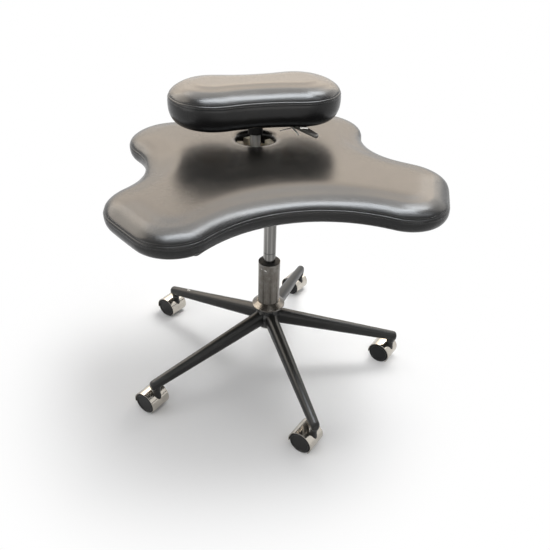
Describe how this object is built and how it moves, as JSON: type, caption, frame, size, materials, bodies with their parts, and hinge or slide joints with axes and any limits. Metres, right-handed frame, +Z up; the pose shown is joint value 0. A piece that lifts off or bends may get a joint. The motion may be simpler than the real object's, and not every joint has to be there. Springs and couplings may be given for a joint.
{
  "type": "cross-legged office chair",
  "caption": "Swivel chair for sitting cross-legged: castor base, gas lift, broad lobed padded platform, and a small waisted padded seat on its own lift above it.",
  "frame": {"origin": "on the floor, on the axis of the main column", "axes": "+Z up, -Y towards the front of the platform, +X to the sitter's left-hand side seen from the front"},
  "size_m": [0.689, 0.6533, 0.652],
  "materials": {
    "black_leather": "semi-gloss black leather with fine grain and stitched seams",
    "plywood": "bare plywood board",
    "gunmetal": "satin gunmetal coat",
    "leg_coat": "dark satin powder coat",
    "nickel": "warm nickel plating, lightly worn",
    "black_coat": "black powder coat",
    "chrome": "polished chrome",
    "steel": "zinc-plated steel",
    "black_plastic": "fine-textured black nylon",
    "wheel_plastic": "black nylon wheel with a worn tread",
    "cream_plastic": "cream moulded plastic"
  },
  "bodies": {
    "base": {"base_hub": "black_coat", "base_collar": "gunmetal", "leg_1": "leg_coat", "leg_2": "leg_coat", "leg_3": "leg_coat", "leg_4": "leg_coat", "leg_5": "leg_coat", "castor_stems": "steel", "column_tube": "gunmetal", "column_bush": "black_plastic"},
    "column_spindle": {"column_rod": "steel", "column_thrust_set": "steel"},
    "platform": {"column_cylinder": "chrome", "platform_plate": "black_coat", "platform_lever_pin": "steel", "platform_board": "plywood", "platform_cushion": "black_leather", "platform_bolts": "steel", "platform_grommet": "cream_plastic", "post_tube": "gunmetal", "post_bush": "black_plastic"},
    "platform_release": {"platform_lever": "black_coat", "platform_lever_grip": "black_plastic"},
    "column_valve": {"column_button": "steel"},
    "post_spindle": {"post_rod": "steel", "post_thrust_set": "steel"},
    "seat": {"post_cylinder": "chrome", "seat_plate": "black_coat", "seat_lever_pin": "steel", "seat_board": "plywood", "seat_cushion": "black_leather", "seat_bolts": "steel"},
    "seat_release": {"seat_lever": "steel", "seat_lever_grip": "black_plastic"},
    "post_valve": {"post_button": "steel"},
    "castor_1": {"castor_1_yoke": "black_plastic", "castor_1_hood": "nickel", "castor_1_axle": "steel"},
    "castor_1_wheel_a": {"castor_1_wheel_a": "wheel_plastic"},
    "castor_1_wheel_b": {"castor_1_wheel_b": "wheel_plastic"},
    "castor_2": {"castor_2_yoke": "black_plastic", "castor_2_hood": "nickel", "castor_2_axle": "steel"},
    "castor_2_wheel_a": {"castor_2_wheel_a": "wheel_plastic"},
    "castor_2_wheel_b": {"castor_2_wheel_b": "wheel_plastic"},
    "castor_3": {"castor_3_yoke": "black_plastic", "castor_3_hood": "nickel", "castor_3_axle": "steel"},
    "castor_3_wheel_a": {"castor_3_wheel_a": "wheel_plastic"},
    "castor_3_wheel_b": {"castor_3_wheel_b": "wheel_plastic"},
    "castor_4": {"castor_4_yoke": "black_plastic", "castor_4_hood": "nickel", "castor_4_axle": "steel"},
    "castor_4_wheel_a": {"castor_4_wheel_a": "wheel_plastic"},
    "castor_4_wheel_b": {"castor_4_wheel_b": "wheel_plastic"},
    "castor_5": {"castor_5_yoke": "black_plastic", "castor_5_hood": "nickel", "castor_5_axle": "steel"},
    "castor_5_wheel_a": {"castor_5_wheel_a": "wheel_plastic"},
    "castor_5_wheel_b": {"castor_5_wheel_b": "wheel_plastic"}
  },
  "joints": [
    {"name": "column_swivel", "type": "hinge", "parent": "base", "child": "column_spindle", "pos_m": [0, 0, 0.2], "axis": [0, 0, 1], "continuous": true},
    {"name": "platform_lift", "type": "slide", "parent": "column_spindle", "child": "platform", "axis": [0, 0, 1], "range_m": [-0.095, 0.012]},
    {"name": "platform_lever_lift", "type": "hinge", "parent": "platform", "child": "platform_release", "pos_m": [-0.02086, -0.02014, 0.4442], "axis": [-0.6947, 0.7193, 0], "range_deg": [0, 4], "stiffness_Nm_per_rad": 2},
    {"name": "column_button_press", "type": "slide", "parent": "platform", "child": "column_valve", "axis": [0, 0, -1], "range_m": [0, 0.0025]},
    {"name": "post_swivel", "type": "hinge", "parent": "platform", "child": "post_spindle", "pos_m": [0, 0.15, 0.4], "axis": [0, 0, 1], "continuous": true},
    {"name": "seat_lift", "type": "slide", "parent": "post_spindle", "child": "seat", "axis": [0, 0, 1], "range_m": [-0.01, 0.09]},
    {"name": "seat_lever_lift", "type": "hinge", "parent": "seat", "child": "seat_release", "pos_m": [0.024, 0.15, 0.5547], "axis": [0, -1, 0], "range_deg": [0, 6], "stiffness_Nm_per_rad": 2},
    {"name": "post_button_press", "type": "slide", "parent": "seat", "child": "post_valve", "axis": [0, 0, -1], "range_m": [0, 0.003]},
    {"name": "castor_1_swivel", "type": "hinge", "parent": "base", "child": "castor_1", "pos_m": [0.16079, 0.26035, 0.05], "axis": [0, 0, 1], "continuous": true},
    {"name": "castor_1_wheel_a_spin", "type": "hinge", "parent": "castor_1", "child": "castor_1_wheel_a", "pos_m": [0.1496, 0.27314, 0.025], "axis": [0.7524, 0.6587, 0], "continuous": true},
    {"name": "castor_1_wheel_b_spin", "type": "hinge", "parent": "castor_1", "child": "castor_1_wheel_b", "pos_m": [0.1496, 0.27314, 0.025], "axis": [0.7524, 0.6587, 0], "continuous": true},
    {"name": "castor_2_swivel", "type": "hinge", "parent": "base", "child": "castor_2", "pos_m": [-0.19792, 0.23338, 0.05], "axis": [0, 0, 1], "continuous": true},
    {"name": "castor_2_wheel_a_spin", "type": "hinge", "parent": "castor_2", "child": "castor_2_wheel_a", "pos_m": [-0.20911, 0.24617, 0.025], "axis": [0.7524, 0.6587, 0], "continuous": true},
    {"name": "castor_2_wheel_b_spin", "type": "hinge", "parent": "castor_2", "child": "castor_2_wheel_b", "pos_m": [-0.20911, 0.24617, 0.025], "axis": [0.7524, 0.6587, 0], "continuous": true},
    {"name": "castor_3_swivel", "type": "hinge", "parent": "base", "child": "castor_3", "pos_m": [-0.28311, -0.11611, 0.05], "axis": [0, 0, 1], "continuous": true},
    {"name": "castor_3_wheel_a_spin", "type": "hinge", "parent": "castor_3", "child": "castor_3_wheel_a", "pos_m": [-0.29431, -0.10332, 0.025], "axis": [0.7524, 0.6587, 0], "continuous": true},
    {"name": "castor_3_wheel_b_spin", "type": "hinge", "parent": "castor_3", "child": "castor_3_wheel_b", "pos_m": [-0.29431, -0.10332, 0.025], "axis": [0.7524, 0.6587, 0], "continuous": true},
    {"name": "castor_4_swivel", "type": "hinge", "parent": "base", "child": "castor_4", "pos_m": [0.02294, -0.30514, 0.05], "axis": [0, 0, 1], "continuous": true},
    {"name": "castor_4_wheel_a_spin", "type": "hinge", "parent": "castor_4", "child": "castor_4_wheel_a", "pos_m": [0.01175, -0.29235, 0.025], "axis": [0.7524, 0.6587, 0], "continuous": true},
    {"name": "castor_4_wheel_b_spin", "type": "hinge", "parent": "castor_4", "child": "castor_4_wheel_b", "pos_m": [0.01175, -0.29235, 0.025], "axis": [0.7524, 0.6587, 0], "continuous": true},
    {"name": "castor_5_swivel", "type": "hinge", "parent": "base", "child": "castor_5", "pos_m": [0.29729, -0.07247, 0.05], "axis": [0, 0, 1], "continuous": true},
    {"name": "castor_5_wheel_a_spin", "type": "hinge", "parent": "castor_5", "child": "castor_5_wheel_a", "pos_m": [0.2861, -0.05968, 0.025], "axis": [0.7524, 0.6587, 0], "continuous": true},
    {"name": "castor_5_wheel_b_spin", "type": "hinge", "parent": "castor_5", "child": "castor_5_wheel_b", "pos_m": [0.2861, -0.05968, 0.025], "axis": [0.7524, 0.6587, 0], "continuous": true}
  ],
  "couplings": [
    {"joint": "column_button_press", "follows": "platform_lever_lift", "m_per_rad": 0.031},
    {"joint": "post_button_press", "follows": "seat_lever_lift", "m_per_rad": 0.0265}
  ]
}
